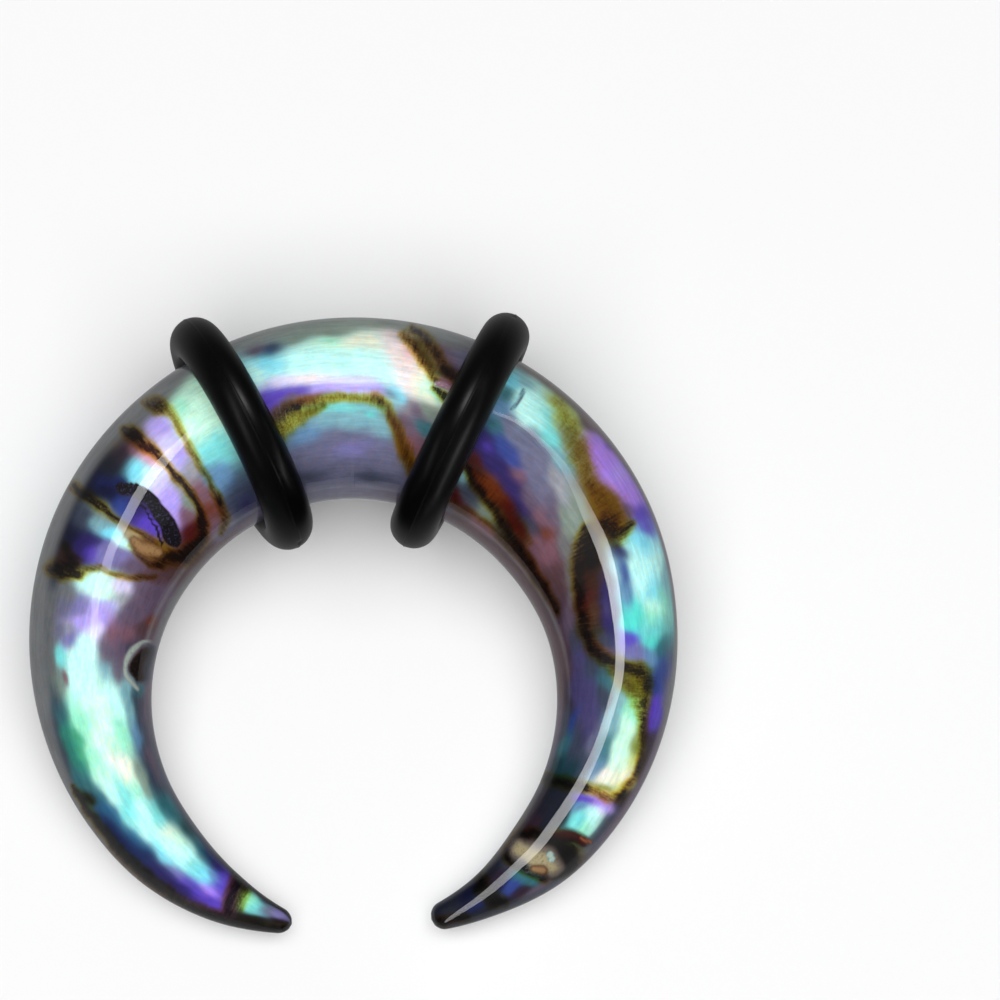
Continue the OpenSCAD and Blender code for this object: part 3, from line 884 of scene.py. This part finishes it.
def shell_finish():
    """Iridescent shell: soft glows of its colours and painted sheen under dark growth lines, with fibres,
    grain and flecks.
    """
    shell = Finish("iridescent_shell")
    lie = shell.attribute("lie", "Vector")
    fibre = shell.noise(shell.stretched(lie, FIBRES), 1.7, 5, 0.6)
    growth = shell.noise(shell.stretched(lie, RINGS_OF_GROWTH), 1.5, 4, 0.55, 0.4)
    grain = shell.noise(lie, 11.0, 4, 0.7)
    streak = shell.step(fibre, 0.3, 0.7)
    mottle = shell.step(shell.noise(lie, 1.5, 3, 0.6, 0.5), 0.35, 0.65)
    light = streak * 0.16 + mottle * 0.08 + grain * 0.16 + SHELL_LIGHT
    shimmer = shell.step(shell.noise(shell.stretched(lie, SHIMMER), 2.4, 4, 0.65), 0.36, 0.64)
    glow = shell.blend(1.0, shell.attribute("glow"), light, "MULTIPLY")
    glow = shell.blend(1.0, glow, shell.blend(shimmer, COOL, WARM), "MULTIPLY")
    hair = shell.noise(shell.stretched(lie, HAIRS), 1.1, 4, 0.65)
    specks = shell.noise(shell.stretched(lie, SPECKS), 3.4, 4, 0.7)
    speck = shell.step(specks, 0.36, 0.66)
    flecking = shell.attribute("flecking", "Fac")
    uneven = (hair - 0.5) * 1.7 + (grain - 0.5) * 0.8 + (speck - 0.5) * flecking * 1.4 + 1.0
    dark = shell.attribute("dark", "Fac") * uneven
    stain = (1, 1, 1, 1)
    for starts, full, hue in STAINS:
        stain = shell.blend(shell.step(dark, starts, full), stain, hue)
    glow = shell.blend(1.0, glow, stain, "MULTIPLY")
    flecked = shell.step(specks, 0.53, 0.64) * flecking
    ink = shell.blend(flecked, shell.attribute("ink"), shell.attribute("fleck"))
    ragged = shell.attribute("cover", "Fac") + (grain - 0.5) * 0.30 + (growth - 0.5) * 0.10
    paint = shell.blend(shell.step(ragged, 0.06, 0.72), glow, ink)
    rough = 0.34 + grain * 0.14
    height = fibre * 0.6 + growth * 0.6 + grain * 0.4
    return shell.surface(shell.node("ShaderNodeBsdfPrincipled", None, {
        "Base Color": paint, "Roughness": rough, "Specular IOR Level": 0.1,
        "Normal": shell.bump(height, 0.35, SHELL_RELIEF)}))


def resin_finish():
    """Clear cast resin, polished: it lets light through to the shell without a dark shadow."""
    resin = Finish("clear_resin")
    place_on = resin.node("ShaderNodeTexCoord", output="Object")
    waves = resin.noise(place_on, 260.0, 2)
    glass = resin.node("ShaderNodeBsdfPrincipled", None, {
        "Base Color": (0.985, 0.995, 0.99, 1), "Roughness": 0.0,
        "IOR": RESIN_IOR, "Transmission Weight": 1.0, "Normal": resin.bump(waves, 0.05, RESIN_RELIEF)})
    clear = resin.node("ShaderNodeBsdfTransparent")
    shadow_ray = resin.node("ShaderNodeLightPath", output="Is Shadow Ray")
    return resin.surface(resin.node("ShaderNodeMixShader", None, {0: shadow_ray, 1: glass, 2: clear}))


def rubber_finish():
    """Satin black moulded rubber."""
    rubber = Finish("black_rubber")
    place_on = rubber.node("ShaderNodeTexCoord", output="Object")
    grain = rubber.noise(place_on, 9000.0, 4, 0.6)
    cloud = rubber.noise(place_on, 420.0, 3)
    tone = rubber.blend(cloud, (0.0008, 0.0008, 0.001, 1), (0.002, 0.002, 0.0022, 1))
    return rubber.surface(rubber.node("ShaderNodeBsdfPrincipled", None, {
        "Base Color": tone, "Roughness": 0.27 + cloud * 0.08 + grain * 0.06, "Specular IOR Level": 0.1,
        "Normal": rubber.bump(grain, 0.25, RUBBER_RELIEF)}))


def plain_finish(name, colour, roughness):
    plain = Finish(name)
    return plain.surface(plain.node("ShaderNodeBsdfPrincipled", None, {
        "Base Color": (*colour, 1), "Roughness": roughness}))


def glowing_finish():
    """Light of the window reflections, as bright as the point's own value says."""
    lamp = Finish("window_light")
    lamp.material.cycles.emission_sampling = "NONE"
    return lamp.surface(lamp.node("ShaderNodeEmission", None, {
        "Color": lamp.attribute("lit"), "Strength": 1.0}))


def build_coat(finish):
    """The clear coat, one solid crescent of resin round the core. Returns the middle of its width."""
    bm = spun_horns(COAT_SIDES, COAT_STATIONS, 0.0, COAT_CROWDING, 0.0, coat_r)
    x = read_points(bm)[:, 0]
    middle_x = (x.max() + x.min()) / 2
    finish_piece("clear_coat_polished", bm, resting_place(middle_x), finish, "clear_coat")
    return middle_x


def build_core(finish, matrix):
    """The shell core, with its pattern as attributes of its points."""
    bm = spun_horns(CORE_SIDES, CORE_STATIONS, CORE_SHORT, CORE_CROWDING, CORE_FRONT, core_r)
    points = read_points(bm)
    piece = finish_piece("shell_core_painted", bm, matrix, finish, "shell_core")
    colours, values = paint_core(points)
    for name, rgb in colours.items():
        add_colour(piece.data, name, rgb)
    for name, numbers in values.items():
        add_value(piece.data, name, numbers)
    angle, turn, r = angle_and_turn(points)
    turn = np.radians(turn)
    lie = (np.radians(angle) * CENTRELINE_R, r * np.cos(turn), r * np.sin(turn))
    add_vector(piece.data, "lie", np.stack(lie, axis=1))


def ring_section(bm, hole):
    """Shapes a circle into the rubber's section: round, flatter where it grips, with a fine mould line."""
    p = read_points(bm)
    turn = np.arctan2(p[:, 1], p[:, 0])
    turn = turn - RING_CROWDING * np.sin(turn)
    a = RING_W / 2 - RIDGE_H - RING_SHRINK
    along = a * np.sin(turn)
    out = RING_H - RING_W / 2 + a * np.cos(turn)
    grip = RING_GRIP_R - np.sqrt(RING_GRIP_R ** 2 - along ** 2)
    out = (out + grip + np.sqrt((out - grip) ** 2 + GRIP_ROUNDING ** 2)) / 2
    out = out + RIDGE_H * np.exp(-(along / RIDGE_W) ** 2) * (np.cos(turn) > 0)
    write_points(bm, np.stack((along, hole + out, np.zeros(len(out))), axis=1))


def build_ring(name, finish, matrix):
    """A stretchy ring round the body, square to it apart from its lean and slant."""
    angle, lean, slant = RINGS[name]
    hole = float(body_r(np.array([angle]))[0]) + RING_GAP
    bm = bmesh.new()
    bmesh.ops.create_circle(bm, segments=RING_SIDES, radius=1.0)
    ring_section(bm, hole)
    bmesh.ops.spin(bm, geom=bm.verts[:] + bm.edges[:], cent=(0, 0, 0), axis=(1, 0, 0), dvec=(0, 0, 0),
                   angle=2 * math.pi, steps=RING_STEPS, use_merge=True)
    p = read_points(bm)
    around = np.degrees(np.arctan2(p[:, 1], p[:, 2]))
    nick = np.exp(-((around - NICKS[name]) / NICK_DEG) ** 2 - (p[:, 0] / NICK_W) ** 2) * NICK_DEPTH
    p[:, 1:] *= (1 - nick / np.hypot(p[:, 1], p[:, 2]))[:, None]
    p[:, 0] += slant * p[:, 2]
    write_points(bm, p)
    bmesh.ops.recalc_face_normals(bm, faces=bm.faces)
    bm.transform(Matrix.Rotation(math.radians(-angle), 4, "Z") @ Matrix.Translation((0, CENTRELINE_R, 0))
                 @ Matrix.Rotation(math.radians(-lean), 4, "Z"))
    return finish_piece(name + "_rubber", bm, matrix, finish, name)


def mirror_directions(places):
    """For places in the picture, the point of the polish there and the direction it mirrors."""
    x = (places[:, 0] - CENTRE_PX[0]) * PX_MM
    y = (CENTRE_PX[1] - places[:, 1]) * PX_MM
    angle = np.degrees(np.arctan2(x, y))
    r = body_r(angle)
    share = np.clip((np.hypot(x, y) - CENTRELINE_R) / r, -0.98, 0.98)
    turn = np.degrees(np.arccos(share))
    slope = (body_r(angle + 0.5) - body_r(angle - 0.5)) / np.radians(1) / (CENTRELINE_R + r * share)
    a = np.radians(angle)
    outward = np.stack((np.sin(a), np.cos(a), np.zeros(len(a))), axis=1)
    onward = np.stack((np.cos(a), -np.sin(a), np.zeros(len(a))), axis=1)
    up = np.array((0.0, 0.0, 1.0))
    normal = share[:, None] * outward + np.sqrt(1 - share ** 2)[:, None] * up - slope[:, None] * onward
    normal /= np.linalg.norm(normal, axis=1)[:, None]
    return place(angle, turn, r), 2 * normal[:, 2:] * normal - up


# How far the ribbons hang from the polish, nearer towards the tips: rows of the picture, distances
RIBBON_ROWS = (620, 790)
RIBBON_REACH = (13.0, 4.0)


def show_in_polish_only(thing):
    """Hides a thing of the studio from all but the reflections."""
    for light_path in ("camera", "diffuse", "transmission", "shadow"):
        setattr(thing, "visible_" + light_path, False)


def stage_ribbon(name, points, matrix, finish):
    """A long lit ribbon, placed where the polish mirrors it along a given route."""
    route = smooth_route(points, RIBBON_PIECES)
    way = np.gradient(route[:, :2], axis=0)
    way /= np.linalg.norm(way, axis=1)[:, None]
    side = np.stack((way[:, 1], -way[:, 0]), axis=1) * route[:, 2:3] / 2
    bm = bmesh.new()
    bmesh.ops.create_grid(bm, x_segments=len(route) - 1, y_segments=1, size=1.0)
    grid = read_points(bm)
    step = np.rint((grid[:, 0] + 1) / 2 * (len(route) - 1)).astype(int)
    sign = np.sign(grid[:, 1])[:, None]
    spot, direction = mirror_directions(route[step, :2] + sign * side[step])
    reach = np.interp(route[step, 1], RIBBON_ROWS, RIBBON_REACH)[:, None]
    write_points(bm, spot + direction * reach)
    bm.transform(matrix)
    ribbon = add_object(name, bm, finish)
    add_colour(ribbon.data, "lit", np.repeat(route[step, 3:], 3, axis=1))
    show_in_polish_only(ribbon)


def stage_card(name, matrix, middle, turn, width, height):
    """An upright black card over the gap, which keeps each ribbon out of the other horn's polish."""
    bm = bmesh.new()
    bmesh.ops.create_grid(bm, x_segments=1, y_segments=1, size=0.5)
    bm.transform(matrix @ Matrix.Translation(middle) @ Matrix.Rotation(math.radians(turn), 4, "Z")
                 @ Matrix.Rotation(math.pi / 2, 4, "X") @ Matrix.Diagonal((width, height, 1.0, 1.0)))
    card = add_object(name, bm, plain_finish(name, (0.0, 0.0, 0.0), 1.0))
    show_in_polish_only(card)


def stage_floor():
    bm = bmesh.new()
    bmesh.ops.create_circle(bm, cap_ends=True, segments=96, radius=2.5)
    floor = add_object("floor", bm, plain_finish("pale_floor", (0.90, 0.90, 0.90), 0.6))
    floor.visible_glossy = False


def soft_light(name, towards, distance, size, energy, glossy):
    """A large square light that faces the object from a direction."""
    data = bpy.data.lights.new(name, "AREA")
    data.size = size
    data.energy = energy
    lamp = bpy.data.objects.new(name, data)
    direction = Vector(towards).normalized()
    facing = direction.to_track_quat("Z", "Y").to_matrix().to_4x4()
    lamp.matrix_world = Matrix.Translation(direction * distance) @ facing
    lamp.visible_glossy = glossy
    lamp.visible_camera = False
    bpy.context.scene.collection.objects.link(lamp)
    return lamp


def light_rings(matrix, rings):
    """A soft lamp above the top that only the rubber rings show."""
    towards = matrix.to_3x3() @ Vector((0.0, 0.52, 0.85))
    lamp = soft_light("ring_sheen", towards, distance=0.4, size=0.10, energy=1.0, glossy=True)
    lamp.visible_diffuse = False
    shown_on = bpy.data.collections.new("rings")
    for ring in rings:
        shown_on.objects.link(ring)
    lamp.light_linking.receiver_collection = shown_on


# Tones of the studio above the horizon and below it
WORLD_ABOVE = (0.12, 0.12, 0.123, 1)
WORLD_BELOW = (0.36, 0.36, 0.37, 1)


def studio_world():
    """A dim even studio, lighter below, where only grazing reflections look."""
    studio = Finish("studio", bpy.data.worlds.new("studio"))
    direction = studio.node("ShaderNodeTexCoord", output="Generated")
    height = studio.node("ShaderNodeSeparateXYZ", None, {0: direction}, "Z")
    tone = studio.blend(studio.step(height, -0.3, 0.0), WORLD_BELOW, WORLD_ABOVE)
    studio.node("ShaderNodeOutputWorld", None, {
        "Surface": studio.node("ShaderNodeBackground", None, {"Color": tone})})
    studio.material.cycles.sampling_method = "NONE"
    return studio.material


def light_scene(matrix):
    bpy.context.scene.world = studio_world()
    soft_light("overhead", towards=(0.0, -0.15, 1.0), distance=0.6, size=0.8, energy=5.6, glossy=False)
    window = glowing_finish()
    for name, points in REFLECTIONS.items():
        stage_ribbon("window_" + name, points, matrix, window)
    stage_card("card_between_horns", matrix, middle=(0.0, -5.5, 12.0), turn=90, width=24.0, height=23.0)


def set_camera(matrix):
    """Looks square at the crescent, with the object where the photograph has it in its frame."""
    data = bpy.data.cameras.new("camera")
    data.sensor_width = SENSOR_MM
    data.lens = SENSOR_MM * CAMERA_DISTANCE / (PICTURE_PX * PX_MM * MM)
    camera = bpy.data.objects.new("camera", data)
    middle = PICTURE_PX / 2
    aim = matrix @ Vector(((middle - CENTRE_PX[0]) * PX_MM, (CENTRE_PX[1] - middle) * PX_MM, 0))
    tilt = Matrix.Rotation(math.radians(90 - CAMERA_ELEVATION), 4, "X")
    camera.matrix_world = Matrix.Translation(aim) @ tilt @ Matrix.Translation((0, 0, CAMERA_DISTANCE))
    bpy.context.scene.collection.objects.link(camera)
    bpy.context.scene.camera = camera


bpy.context.scene.view_settings.view_transform = "Standard"
middle_x = build_coat(resin_finish())
rest = resting_place(middle_x)
build_core(shell_finish(), rest)
rubber = rubber_finish()
rings = [build_ring(name, rubber, rest) for name in RINGS]
stage_floor()
light_scene(rest)
light_rings(rest, rings)
set_camera(rest)
